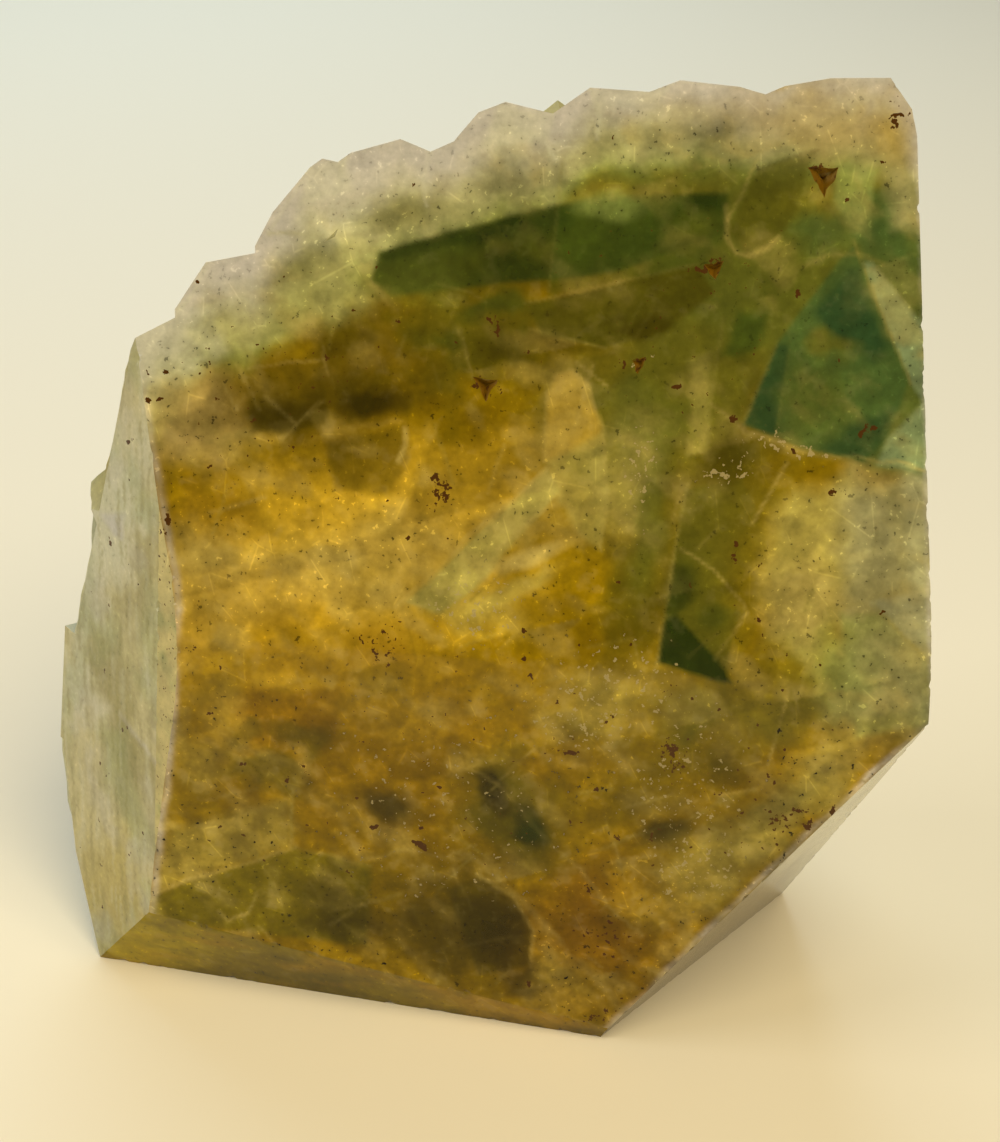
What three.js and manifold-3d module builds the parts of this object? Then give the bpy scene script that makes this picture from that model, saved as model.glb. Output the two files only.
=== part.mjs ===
// Polished fluorite: one natural piece, with ground and polished facets in front,
// on the left, on the right and underneath, and a natural skin of intergrown
// cubic crystals over the back and along the top.
// Millimetres, +Z up. The polished front looks along -Y and the stone rests on Z = 0.
import * as THREE from "three";
import { ConvexGeometry } from "three/addons/geometries/ConvexGeometry.js";
import { mergeVertices } from "three/addons/utils/BufferGeometryUtils.js";
import Module from "manifold-3d";

const wasm = await Module();
wasm.setup();

// Corners of the polished facets.
const BASE_LEFT = [-46.0, -4.2, 0];
const BASE_FRONT = [10.9, -17.6, 0];
const BASE_RIGHT = [34.0, 7.7, 0];
const CHAMFER_LEFT = [-38.3, -10.9, 11.7];
const CHAMFER_RIGHT = [11.3, -18.6, 2.1];
const RIDGE_LEFT = [-31.7, -9.4, 45.4];
const RIDGE_RIGHT = [41.6, -19.9, 44.7];
const RIGHT_LOW = [41.8, -20.1, 42.1];
const RIGHT_HIGH = [39.1, 0.7, 94.5];
const TOP_LEFT = [-36.5, 2.5, 73.1];

// The broad ridge between the two front facets.
const RIDGE_RADIUS = 60;
const RIDGE_STEPS = 4;

// The small bevel that takes off the corner between the front and the left facet.
const BEVEL_TOP = [-34.4, -4.1, 57.6];
const BEVEL_MIDDLE = [-32.1, -9.4, 45.4];
const BEVEL_FOOT = [-37.7, -10.7, 15.8];

// A point well inside the stone, and how much larger the rough stone was before grinding.
const HEART = [0, 2, 45];
const ROUGH_SCALE = 1.12;

// The natural skin under its crystals: the rear border of the left facet, the
// foot of the crystal rim, and the back from top to bottom.
const LEFT_BORDER = [
  [-37.2, 3.0, 71.6], [-45.2, 6.0, 43.7], [-49.8, 7.6, 27.3], [-50.1, 6.8, 22.4], [-49.0, 2.3, 10.3],
];
const RIM_FOOT = [[-25, 2, 79], [-7, 3, 89], [6, 3, 92], [26, 1, 95], [43, -1, 92]];
const BACK = [
  [-28, 13, 68], [0, 16, 79], [26, 13, 83],
  [-45, 13, 26], [-22, 22, 42], [5, 25, 44], [27, 20, 46],
  [-37, 10, 0], [-12, 17, 0], [14, 19, 0], [33, 14, 0],
];

// A crystal that stands out at the rear border of the left facet.
const LEFT_STEP = { corner: [-48.6, 8.5, 36.6], size: [9, 14, 12], proud: 2 };

// Crests of the rim crystals as [x, z] where they meet the front, left to right.
const RIM_CRESTS = [
  [[-32.4, 75.9], [-29.2, 80.3], [-24.0, 81.4]],
  [[-24.2, 82.0], [-22.4, 85.1], [-18.6, 89.3], [-17.4, 90.1], [-15.6, 89.8]],
  [[-15.8, 89.9], [-14.6, 90.7], [-9.7, 92.1], [-6.8, 91.1]],
  [[-7.2, 90.9], [-4.2, 92.2], [-2.5, 92.0]],
  [[-4.4, 92.2], [-2.1, 94.7], [0.5, 95.7], [5.2, 94.8]],
  [[5.0, 94.8], [8.6, 97.2], [14.4, 97.0]],
  [[14.2, 97.0], [17.1, 98.1], [22.7, 97.7], [25.2, 97.1]],
  [[25.0, 97.1], [26.9, 97.9], [31.1, 98.7], [36.6, 98.9], [38.6, 96.3], [39.6, 92.0]],
];
// How far a rim crystal stood in front before grinding, how deep its root goes, how
// far back it runs, and how steeply it falls on the way.
const RIM_PROUD = 3;
const RIM_ROOT = 12;
const RIM_DEPTH = [5, 9];
const RIM_FALL = [0.6, 1.0];

// Cubic crystals over the natural skin, in two sizes that grew nearly parallel.
const CRYSTAL_CROPS = [
  { spread: 150, size: [10, 17], proud: [0.12, 0.34] },
  { spread: 420, size: [4.5, 8], proud: [0.25, 0.6] },
];
// spread is the number of directions tried all round, proud the share that stands out.
const CRYSTAL_TURN = [0.42, 0.75, 0.2];
const CRYSTAL_STRAY = 0.12;
// Crystals sit where rays from this centre leave the skin at least this far rearward.
const CRYSTAL_CENTRE = [0, -12, 48];
const BACK_REACH = 0.42;
const SEED = 26;

// Open pits in the upper front where small crystals dropped out, as [x, z, depth].
const PITS = [[-1.5, 70.4, 1.0], [30.6, 90.2, 1.3], [20.5, 81.8, 0.8], [13.4, 73.1, 0.7]];
const PIT_CUBE = 8;

// Colour and finish of the stone.
const STONE_COLOUR = 0x8f9a4a;
const STONE_ROUGHNESS = 0.15;

// Larger than the stone every way, and the distance under which corners are one point.
const SAW_BLOCK = 400;
const SAME_POINT = 1e-4;

const point = (corner) => new THREE.Vector3(...corner);

// A repeatable random source.
function randomSource(seed) {
  let state = seed;
  return () => {
    state = (Math.imul(state, 1664525) + 1013904223) >>> 0;
    return state / 2 ** 32;
  };
}

const between = (random, [low, high]) => low + (high - low) * random();

function solidFrom(geometry) {
  const bare = geometry.index ? geometry.toNonIndexed() : geometry.clone();
  bare.deleteAttribute("normal");
  bare.deleteAttribute("uv");
  const merged = mergeVertices(bare, SAME_POINT);
  const mesh = new wasm.Mesh({
    numProp: 3,
    vertProperties: new Float32Array(merged.attributes.position.array),
    triVerts: new Uint32Array(merged.index.array),
  });
  return new wasm.Manifold(mesh);
}

function geometryFrom(solid) {
  const mesh = solid.getMesh();
  const geometry = new THREE.BufferGeometry();
  geometry.setAttribute("position", new THREE.BufferAttribute(mesh.vertProperties, 3));
  geometry.setIndex(new THREE.BufferAttribute(mesh.triVerts, 1));
  geometry.computeVertexNormals();
  return geometry;
}

// A polished plane through three corners, facing away from the heart of the stone.
function facet(a, b, c) {
  const plane = new THREE.Plane().setFromCoplanarPoints(point(a), point(b), point(c));
  return plane.distanceToPoint(point(HEART)) > 0 ? plane.negate() : plane;
}

// Planes that roll from one facet to the next around a shared axis.
function rolledFacets(lower, upper, onRidge) {
  const middle = lower.normal.clone().add(upper.normal).normalize();
  const reach = RIDGE_RADIUS / middle.dot(upper.normal);
  const axisPoint = point(onRidge).addScaledVector(middle, -reach);
  return Array.from({ length: RIDGE_STEPS }, (_, step) => {
    const share = (step + 1) / (RIDGE_STEPS + 1);
    const normal = lower.normal.clone().lerp(upper.normal, share).normalize();
    const touch = axisPoint.clone().addScaledVector(normal, RIDGE_RADIUS);
    return new THREE.Plane().setFromNormalAndCoplanarPoint(normal, touch);
  });
}

// Everything on the outer side of a plane, to be sawn off.
function sawnOff(plane) {
  const block = new THREE.BoxGeometry(SAW_BLOCK, SAW_BLOCK, SAW_BLOCK);
  const turn = new THREE.Quaternion().setFromUnitVectors(new THREE.Vector3(0, 0, 1), plane.normal);
  const middle = plane.coplanarPoint(new THREE.Vector3());
  middle.addScaledVector(plane.normal, SAW_BLOCK / 2);
  block.applyQuaternion(turn).translate(middle.x, middle.y, middle.z);
  return solidFrom(block);
}

// One rim crystal: its crest in front, the same crest further back and lower, and its root.
function rimCrystal(crest, front, random) {
  const depth = between(random, RIM_DEPTH);
  const fall = between(random, RIM_FALL);
  const inward = new THREE.Vector3(0, 1, -fall).normalize();
  const face = crest.map(([x, z]) => onFront(x, z, front));
  const root = [face[0], face[face.length - 1]].map((end) => end.clone().setZ(end.z - RIM_ROOT));
  const outline = [...face, ...root];
  const ahead = outline.map((corner) => corner.clone().addScaledVector(inward, -RIM_PROUD));
  const rear = outline.map((corner) => corner.clone().addScaledVector(inward, depth));
  return new ConvexGeometry([...ahead, ...rear]);
}

// The point of a front plane that has a given x and z.
function onFront(x, z, front) {
  const y = -(front.constant + front.normal.x * x + front.normal.z * z) / front.normal.y;
  return new THREE.Vector3(x, y, z);
}

// A box with its outer upper edge at the rear border of the left facet.
function leftStep(left) {
  const frontward = new THREE.Vector3(0, 0, 1).cross(left.normal).normalize();
  const upward = left.normal.clone().cross(frontward);
  const [wide, tall, deep] = LEFT_STEP.size;
  const box = new THREE.BoxGeometry(wide, tall, deep);
  box.translate(wide / 2, -tall / 2, LEFT_STEP.proud - deep / 2);
  const turn = new THREE.Matrix4().makeBasis(frontward, upward, left.normal);
  return box.applyMatrix4(turn.setPosition(point(LEFT_STEP.corner)));
}

// A cube set corner down in the front, which leaves a three-sided pit.
function pit([x, z, depth], front) {
  const corner = new THREE.Vector3(1, 1, 1).normalize();
  const inward = front.normal.clone().negate();
  const cube = new THREE.BoxGeometry(PIT_CUBE, PIT_CUBE, PIT_CUBE);
  cube.applyQuaternion(new THREE.Quaternion().setFromUnitVectors(corner, inward));
  const toCorner = (PIT_CUBE / 2) * Math.sqrt(3);
  const middle = onFront(x, z, front).addScaledVector(inward, depth - toCorner);
  return cube.translate(middle.x, middle.y, middle.z);
}

// Directions spread evenly over a sphere.
function evenDirections(count) {
  const turn = Math.PI * (3 - Math.sqrt(5));
  return Array.from({ length: count }, (_, step) => {
    const z = 1 - (2 * step + 1) / count;
    const spread = Math.sqrt(1 - z * z);
    return new THREE.Vector3(spread * Math.cos(turn * step), spread * Math.sin(turn * step), z);
  });
}

// Cubes part sunk in the natural skin, all turned nearly the same way.
function skinCrystals(core, crop, random) {
  const skin = new THREE.Mesh(core, new THREE.MeshStandardMaterial({ side: THREE.DoubleSide }));
  const caster = new THREE.Raycaster();
  const cubes = [];
  for (const direction of evenDirections(crop.spread)) {
    if (direction.y < BACK_REACH) continue;
    caster.set(point(CRYSTAL_CENTRE), direction);
    const place = caster.intersectObject(skin)[0].point;
    const size = between(random, crop.size);
    const middle = place.addScaledVector(direction, size * (between(random, crop.proud) - 0.5));
    const turn = CRYSTAL_TURN.map((angle) => angle + CRYSTAL_STRAY * (2 * random() - 1));
    const cube = new THREE.BoxGeometry(size, size, size);
    cube.applyQuaternion(new THREE.Quaternion().setFromEuler(new THREE.Euler(...turn)));
    cubes.push(cube.translate(middle.x, middle.y, middle.z));
  }
  return cubes;
}

// The stone before its crystals and before grinding, larger where it was ground away.
function roughStone() {
  const ground = [
    BASE_FRONT, BASE_RIGHT, CHAMFER_LEFT, CHAMFER_RIGHT, RIDGE_LEFT, RIDGE_RIGHT, RIGHT_LOW,
  ];
  const heart = point(HEART);
  const outside = ground.map((corner) => point(corner).sub(heart).multiplyScalar(ROUGH_SCALE).add(heart));
  const natural = [BASE_LEFT, ...LEFT_BORDER, TOP_LEFT, ...RIM_FOOT, ...BACK].map(point);
  return new ConvexGeometry([...outside, ...natural]);
}

function fluorite() {
  const random = randomSource(SEED);
  const lowerFront = facet(CHAMFER_LEFT, CHAMFER_RIGHT, RIDGE_RIGHT);
  const upperFront = facet(RIDGE_LEFT, RIDGE_RIGHT, TOP_LEFT);
  const left = facet(BASE_LEFT, CHAMFER_LEFT, TOP_LEFT);
  const facets = [
    facet(BASE_LEFT, BASE_FRONT, BASE_RIGHT),
    facet(BASE_LEFT, BASE_FRONT, CHAMFER_LEFT),
    lowerFront,
    ...rolledFacets(lowerFront, upperFront, RIDGE_RIGHT),
    upperFront,
    left,
    facet(BEVEL_TOP, BEVEL_MIDDLE, BEVEL_FOOT),
    facet(BASE_FRONT, BASE_RIGHT, RIGHT_LOW),
    facet(BASE_RIGHT, RIGHT_LOW, RIGHT_HIGH),
  ];
  const core = roughStone();
  const crystals = [
    ...RIM_CRESTS.map((crest) => rimCrystal(crest, upperFront, random)),
    leftStep(left),
    ...CRYSTAL_CROPS.flatMap((crop) => skinCrystals(core, crop, random)),
  ];
  const rough = crystals.reduce((stone, crystal) => stone.add(solidFrom(crystal)), solidFrom(core));
  const ground = facets.reduce((stone, plane) => stone.subtract(sawnOff(plane)), rough);
  const pitted = PITS.reduce((stone, place) => stone.subtract(solidFrom(pit(place, upperFront))), ground);
  return geometryFrom(pitted);
}

// The origin is on the surface it rests on, under the middle of its outline.
function setDown(geometry) {
  geometry.computeBoundingBox();
  const { min, max } = geometry.boundingBox;
  return geometry.translate(-(min.x + max.x) / 2, -(min.y + max.y) / 2, -min.z);
}

const stone = new THREE.Mesh(
  setDown(fluorite()),
  new THREE.MeshStandardMaterial({ color: STONE_COLOUR, roughness: STONE_ROUGHNESS, metalness: 0 }),
);
stone.name = "fluorite";

const part = new THREE.Group();
part.add(stone);

export default part;
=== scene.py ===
"""Polished fluorite: the stone's fine surface, its colours and a plain studio around it."""

import math
from dataclasses import dataclass

import bmesh
import bpy
import numpy as np
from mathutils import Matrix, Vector, geometry, kdtree, noise


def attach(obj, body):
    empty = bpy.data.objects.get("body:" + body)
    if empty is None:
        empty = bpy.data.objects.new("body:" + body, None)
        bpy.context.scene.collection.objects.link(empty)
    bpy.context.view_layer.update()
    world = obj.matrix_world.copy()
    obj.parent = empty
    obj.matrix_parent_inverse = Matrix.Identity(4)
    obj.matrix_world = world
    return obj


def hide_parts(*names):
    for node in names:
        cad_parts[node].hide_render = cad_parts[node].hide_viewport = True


MM = 0.001

# The photograph's frame and the camera that took it, in the part's own frame.
PHOTO_WIDE, PHOTO_HIGH = 1000, 1142
FOCAL_PIXELS = 1900.0
CAMERA_PLACE = (4.3 * MM, -181.7 * MM, 141.7 * MM)
CAMERA_DOWN = math.radians(28.0)
SENSOR = 36.0

# Fine mesh: distance between points on the front, on the left facet, on the other facets, and on
# the skin, the base and the right side; how much of that distance inner points keep from a face's
# border; and what tells flat from sharp and one facet from the next.
FRONT_STEP = 0.325 * MM
LEFT_STEP = 0.45 * MM
FACET_STEP = 0.6 * MM
SKIN_STEP = 1.2 * MM
BORDER_GAP = 0.6
SAME_POINT = 1e-7
FLAT_ANGLE = math.radians(0.05)
SHARP_ANGLE = math.radians(22.0)
SAME_PLANE = 0.02 * MM
SAME_WAY = 0.999
LARGE_FACET = 50 * MM * MM
WELD = 0.002 * MM

# Which way the ground facets face: an axis, a sign and how squarely at least, tried in this order.
# A face that looks back more squarely than REARWARD is skin.
FACET_FACING = [
    ("base", 2, -1, 0.9), ("right", 0, 1, 0.9), ("underside", 0, 1, 0.4),
    ("left", 0, -1, 0.72), ("bevel", 0, -1, 0.5), ("chamfer", 2, -1, 0.1),
]
REARWARD = 0.5

# Three-sided pits in the front, in photo pixels: how far round each its faces lie, and the y that
# they stay in front of.
PIT_PLACES = [(485, 385), (638, 364), (714, 270), (825, 178)]
PIT_REACH = 24
PIT_BACK = 0.0

# Wear: how far the ground edges are rubbed down, the relief of the natural skin, and how
# ragged the pits are, each with the size of its unevenness. The front's slope keeps the pits in it.
WEAR_DEPTH, WEAR_SIZE = 0.2 * MM, 1.2 * MM
RELIEF_DEPTH, RELIEF_SIZE = 0.3 * MM, 3.0 * MM
RAGGED_DEPTH, RAGGED_SIZE = 0.3 * MM, 1.6 * MM
WEAR_SEED, RELIEF_SEED = 81, 82
RAGGED_SEEDS = {0: 83, 2: 84}
FRONT_SLOPE = {0: 0.139, 2: -0.406}
NATURAL = ("skin", "pit")

# Colours as the photograph shows them, 0 to 255, and how much lighter the paint is than it looks
# in the studio's light, in red, green and blue.
COLOURS = {
    "crust": (208, 197, 200), "mint": (184, 174, 132), "pale_green": (164, 156, 100),
    "mint_green": (132, 144, 80), "sage": (134, 144, 74), "green": (92, 98, 34),
    "dark_green": (54, 74, 20), "deep_green": (40, 52, 12), "teal": (76, 98, 48),
    "deep_teal": (42, 70, 40), "pale_teal": (136, 150, 112), "olive": (84, 78, 14),
    "olive_green": (98, 92, 24), "dark_olive": (62, 52, 2), "umber": (42, 34, 2),
    "moss": (146, 114, 0), "dark_moss": (114, 99, 6), "brown": (136, 98, 0),
    "tan": (172, 146, 92), "gold": (184, 145, 34), "deep_gold": (186, 142, 12),
    "amber": (182, 148, 56), "straw": (198, 172, 100), "mist": (164, 149, 80),
    "khaki": (162, 152, 104), "pale_khaki": (184, 178, 142), "bottle": (62, 70, 18),
    "bronze": (104, 82, 10), "russet": (120, 82, 8), "yellow_green": (132, 110, 0),
    "bright_olive": (178, 152, 0), "bone": (202, 186, 146), "lichen": (140, 150, 104),
    "milk": (216, 208, 190), "clay": (146, 134, 84), "wheat": (188, 164, 86),
    "bevel": (204, 184, 132), "wet_gold": (164, 124, 2),
}
PAINT_GAIN = np.array((1.09, 1.19, 1.12))
LIGHTEST = 0.9

# The crest of the rim in the photograph, left to right, for the bands that follow it.
RIM_LINE = np.array([
    (135, 338), (178, 300), (205, 262), (252, 252), (310, 167), (345, 157), (400, 138), (430, 150),
    (500, 102), (553, 112), (590, 88), (680, 82), (765, 92), (830, 78), (890, 77), (918, 130),
])

# How deep the crust reaches below the crest, at some places across, and the bands along it: where
# each fades out, in crust depths below the crest. The wander makes them uneven, in pixels.
CRUST_DEPTH = np.array([
    (130, 70), (205, 66), (262, 72), (330, 96), (440, 72), (510, 80), (600, 54), (900, 64),
])
SAGE_BAND = (1.3, 2.0)
MINT_BAND = (0.9, 1.6)
CRUST_BAND = (0.1, 1.0)
RIM_WANDER = 12

# Cleavage: three plane directions whose cuts in the front run as the cracks there do.
CLEAVAGE = np.array([(-0.25, 0.35, 0.9), (0.75, 0.45, 0.48), (0.88, -0.4, -0.25)])
CLEAVAGE_START = np.array((0.3, 0.7, 0.1))
BLOCK_WANDER = 0.03
LARGE_BLOCK, SMALL_BLOCK, SPLINTER = 13 * MM, 6 * MM, 3 * MM

# Odd numbers that mix a block's place and a seed into a random number, and how far from a half that
# number has to be for the block to stand out.
BLOCK_MIXERS = np.array((374761393, 668265263, 1274126177))
SEED_MIXER = 97531
CHANCE_MIXER = 1103515245
CHANCE_COUNT = 65536
BOLD_CHANCE = 0.2

# The size of the unevenness by which painted shapes wander.
WANDER_SIZE = 5 * MM

# Small shifts over which the edges of blocks between cleavage planes are softened.
SOFTENING = np.random.default_rng(3).normal(0.0, 0.16 * MM, (8, 3))
WISP_SOFTENING = SOFTENING[:3]

# Fine cracks: how many, where in the photograph, how long and at which angles.
CRACK_SEED = 17
CRACK_COUNT = 110
CRACK_AREA = ((170, 300), (910, 990))
CRACK_LENGTHS = (15, 70)
CRACK_ANGLES = (-14, -41, 42, 68, 105)
CRACK_STRAY = 4.0
CRACK_WIDTHS = (1.2, 2.0)
CRACK_SHARES = (0.15, 0.4)

# How strong lines are and how much they are broken up, where marks fade, and how strong spots are.
LINE_STRENGTH, LINE_BREAKS = 0.75, 0.5
MARK_EDGE = (0.2, 1.2)
SPECK_SHARE, SPOT_SHARE = 1.4, 1.5

# What each point's marks are unless a facet says otherwise; the order is that of the colour channels.
MARK_START = {"rust": 0.0, "polish": 1.0, "grit": 0.0, "veil": 1.0}

# The left and the lower right facet are streaked along their lengths: squeezes those directions.
LEFT_WAY = np.array((-0.08, 0.1, 0.99))
LEFT_GRAIN = np.eye(3) - 0.95 * np.outer(LEFT_WAY, LEFT_WAY)
UNDERSIDE_WAY = np.array((0.62, 0.05, 0.78))
UNDERSIDE_GRAIN = np.eye(3) - 0.85 * np.outer(UNDERSIDE_WAY, UNDERSIDE_WAY)
CHAMFER_GRAIN = np.array((0.12, 1.0, 1.0))

# Between these heights in the photograph the lower right facet turns from pale to bronze.
UNDERSIDE_TURN = (815, 900)
UNDERSIDE_WANDER = 25

# Wisps are drawn out along this direction, and jump this many sizes at a cleavage plane.
WISP_WAY = np.array((0.84, 0.0, -0.54))
WISP_GRAIN = np.eye(3) - 0.45 * np.outer(WISP_WAY, WISP_WAY)
WISP_JUMP = 40

# On paint this bright, light lines show fully.
FULL_BRIGHTNESS = 0.16

# Veils: the size of their unevenness, how fast its finer parts fade and how far it swings round a half.
VEIL_SIZE = 2.6 * MM
VEIL_FALL = 0.47
VEIL_SPREAD = 0.24
VEIL_SEED = 75

# The net of hairline cracks is a flat one, laid on the stone along this direction, then turned and
# stretched in its plane.
NET_WAY = Vector((-0.5, -0.75, 0.43))
NET_TURN = (0.0, 0.0, 0.7)
NET_STRETCH = (1.0, 0.6, 1.0)
NET = {"Scale": 260.0, "Randomness": 1.0}
NET_WIDTH = 0.03
NET_STRENGTH = 0.26
NET_VEIL = (0.5, 0.64)

# Fine patterns in the material, painted glints among them. A row of four is a ramp: its ends and the values
# there.
GRAIN = {"Scale": 1500.0, "Detail": 2.0, "Roughness": 0.65}
# Light flecks: tiny bright specks, partly pale grains of the stone and partly painted glints of light on its
# polish.
PALE_GRAINS_AND_GLINTS = (0.66, 0.72, 0.0, 0.5)
DARK_FLECKS = (0.29, 0.34, -0.45, 0.0)
GRAIN_BRIGHTNESS = (0.25, 0.75, 0.92, 1.08)
VEIL_BRIGHTNESS = (0.25, 0.75, -0.15, 0.15)
VEIL_PALENESS = (0.54, 0.74, 0.0, 0.1)
VEIL_COLOUR = (0.5, 0.42, 0.2, 1.0)

# Dirt: its colours, how little of it shows, and which grains it covers.
RUST = (0.09, 0.034, 0.006, 1.0)
GRIT = (0.56, 0.46, 0.22, 1.0)
FIRST_DIRT = (0.02, 0.15)
DIRT_EDGE = 0.05
RUST_LEVEL, RUST_SPREAD = 0.72, 0.24
GRIT_LEVEL, GRIT_SPREAD, GRIT_SHARE = 0.3, 0.16, 0.7

# The optics of the stone: roughness from frosted to polished, and what grains add to it.
ROUGHNESS = (0.42, 0.08)
GRAIN_ROUGHNESS = 0.12
FLUORITE_IOR = 1.434
SPECULAR_LEVEL = 0.15
TRANSMISSION = 0.3
ABSORPTION = {"Color": (0.85, 0.78, 0.1, 1.0), "Density": 35.0}

# How strong the fine patterns are on the front, how much stronger lower down, between which heights in the
# photograph that sets in, and how much weaker they are in the crust.
FINE_STRENGTH = 1.2
FINE_GAIN = 0.6
FINE_HEIGHTS = (640, 780)
CRUST_CALM = 0.8

# The studio.
FLOOR_SIZE = 4.0
FLOOR_COLOUR = (0.85, 0.79, 0.64, 1)
FLOOR_ROUGHNESS = 0.7
SKY_COLOUR = (1.0, 0.9, 0.7, 1)
SKY_STRENGTH = 0.12


def linear(name):
    """A named colour in linear light."""
    share = np.array(COLOURS[name]) / 255.0
    return PAINT_GAIN * np.where(share <= 0.04045, share / 12.92, ((share + 0.055) / 1.055) ** 2.4)


def smoothstep(low, high, value):
    share = np.clip((value - low) / (high - low), 0.0, 1.0)
    return share * share * (3.0 - 2.0 * share)


def photo_pixels(points):
    """Where points of the stone, in metres, fall in the photograph."""
    forward = np.array((0.0, math.cos(CAMERA_DOWN), -math.sin(CAMERA_DOWN)))
    upward = np.array((0.0, math.sin(CAMERA_DOWN), math.cos(CAMERA_DOWN)))
    offset = points - np.array(CAMERA_PLACE)
    depth = offset @ forward
    across = PHOTO_WIDE / 2 + FOCAL_PIXELS * offset[:, 0] / depth
    down = PHOTO_HIGH / 2 - FOCAL_PIXELS * (offset @ upward) / depth
    return np.stack([across, down], axis=1)


def noise_field(points, size, octaves, seed, fall=1.0):
    """Fractal noise around 0 at each point, with features of about the given size.

    A small fall keeps the finer features strong.
    """
    shift = Vector((17.3 * seed, -9.1 * seed, 5.7 * seed))
    return np.array([noise.fractal(Vector(p) / size + shift, fall, 2.0, octaves) for p in points])


# The fine mesh.

def flat_solid(mesh):
    """The CAD solid with every flat face in one polygon."""
    solid = bmesh.new()
    solid.from_mesh(mesh)
    bmesh.ops.remove_doubles(solid, verts=solid.verts, dist=WELD)
    bmesh.ops.dissolve_limit(solid, angle_limit=FLAT_ANGLE, verts=solid.verts, edges=solid.edges)
    solid.normal_update()
    return solid


def facet_name(face, points):
    """Which polished facet a face belongs to; a ground face's plane bounds the whole stone."""
    normal = face.normal
    highest = (points @ np.array(normal)).max()
    if normal.y > REARWARD or highest > normal.dot(face.verts[0].co) + SAME_PLANE:
        return "skin"
    for name, axis, sign, least in FACET_FACING:
        if sign * normal[axis] > least:
            return name
    return "front"


def facet_names(solid):
    """Names for all the faces; slivers go with the facet they lie in, and pits are told from the skin."""
    points = np.array([v.co for v in solid.verts])
    names = {face: facet_name(face, points) for face in solid.faces}
    ground = [face for face in solid.faces if names[face] != "skin" and face.calc_area() > LARGE_FACET]
    for face in solid.faces:
        middle = face.calc_center_median()
        for facet in ground:
            gap = abs(facet.normal.dot(middle - facet.verts[0].co))
            if gap < SAME_PLANE and facet.normal.dot(face.normal) > SAME_WAY:
                names[face] = names[facet]
        pixel = photo_pixels(np.array([middle]))[0]
        near = min(np.hypot(*(pixel - np.array(pit))) for pit in PIT_PLACES)
        if names[face] == "skin" and middle.y < PIT_BACK and near < PIT_REACH:
            names[face] = "pit"
    return names


def step_of(name):
    coarse = dict.fromkeys(("skin", "base", "right"), SKIN_STEP)
    return {"front": FRONT_STEP, "pit": FRONT_STEP, "left": LEFT_STEP, **coarse}.get(name, FACET_STEP)


def cut_edges(solid, names):
    """Cuts each edge into pieces as short as the finer face beside it needs."""
    groups = {}
    for edge in solid.edges:
        step = min(step_of(names[face]) for face in edge.link_faces)
        cuts = math.ceil(edge.calc_length() / step) - 1
        if cuts > 0:
            groups.setdefault(cuts, []).append(edge)
    for cuts, edges in groups.items():
        bmesh.ops.bisect_edges(solid, edges=edges, cuts=cuts)


def even_lattice(low, high, step):
    """Points of a triangular lattice that covers a rectangle."""
    rows = np.arange(low[1], high[1], step * math.sqrt(3) / 2)
    columns = np.arange(low[0], high[0], step)
    x, y = np.meshgrid(columns, rows)
    x[1::2] += step / 2
    return np.stack([x.ravel(), y.ravel()], axis=1)


def face_triangles(face, step):
    """Even triangles over one flat face: the new inner points and the corner numbers."""
    border = np.array([v.co for v in face.verts])
    normal = Vector(face.normal)
    across = normal.orthogonal().normalized()
    axes = np.array([across, normal.cross(across)])
    flat = (border - border[0]) @ axes.T
    tree = kdtree.KDTree(len(flat))
    for number, place in enumerate(flat):
        tree.insert((*place, 0.0), number)
    tree.balance()
    lattice = even_lattice(flat.min(axis=0), flat.max(axis=0), step)
    clear = np.array([tree.find((*place, 0.0))[2] > BORDER_GAP * step for place in lattice], dtype=bool)
    inner = lattice[clear] if len(lattice) else np.empty((0, 2))
    inputs = [Vector(place / step) for place in np.vstack([flat, inner])]
    loop = list(range(len(flat)))
    _, _, triangles, origin, _, _ = geometry.delaunay_2d_cdt(inputs, [], [loop], 1, SAME_POINT)
    number_of = [sources[0] for sources in origin]
    corners = [[number_of[corner] for corner in triangle] for triangle in triangles]
    return border[0] + inner @ axes, corners


def fine_mesh(source):
    """Points, triangles and the facet name of each triangle."""
    solid = flat_solid(source)
    names = facet_names(solid)
    cut_edges(solid, names)
    solid.verts.index_update()
    points = [np.array([v.co for v in solid.verts])]
    count = len(solid.verts)
    triangles, facets = [], []
    for face in solid.faces:
        inner, numbers = face_triangles(face, step_of(names[face]))
        index = np.array([v.index for v in face.verts] + list(range(count, count + len(inner))))
        points.append(inner)
        count += len(inner)
        triangles.extend(index[numbers])
        facets.extend([names[face]] * len(numbers))
    solid.free()
    used, packed = np.unique(np.array(triangles), return_inverse=True)
    return np.vstack(points)[used], packed.reshape(-1, 3), np.array(facets)


def surface_normals(points, triangles):
    corners = points[triangles]
    across = np.cross(corners[:, 1] - corners[:, 0], corners[:, 2] - corners[:, 0])
    total = np.zeros_like(points)
    for corner in range(3):
        np.add.at(total, triangles[:, corner], across)
    return total / np.linalg.norm(total, axis=1, keepdims=True)


def touched(count, triangles):
    """Which points some triangles use."""
    flags = np.zeros(count, dtype=bool)
    flags[triangles.ravel()] = True
    return flags


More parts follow.
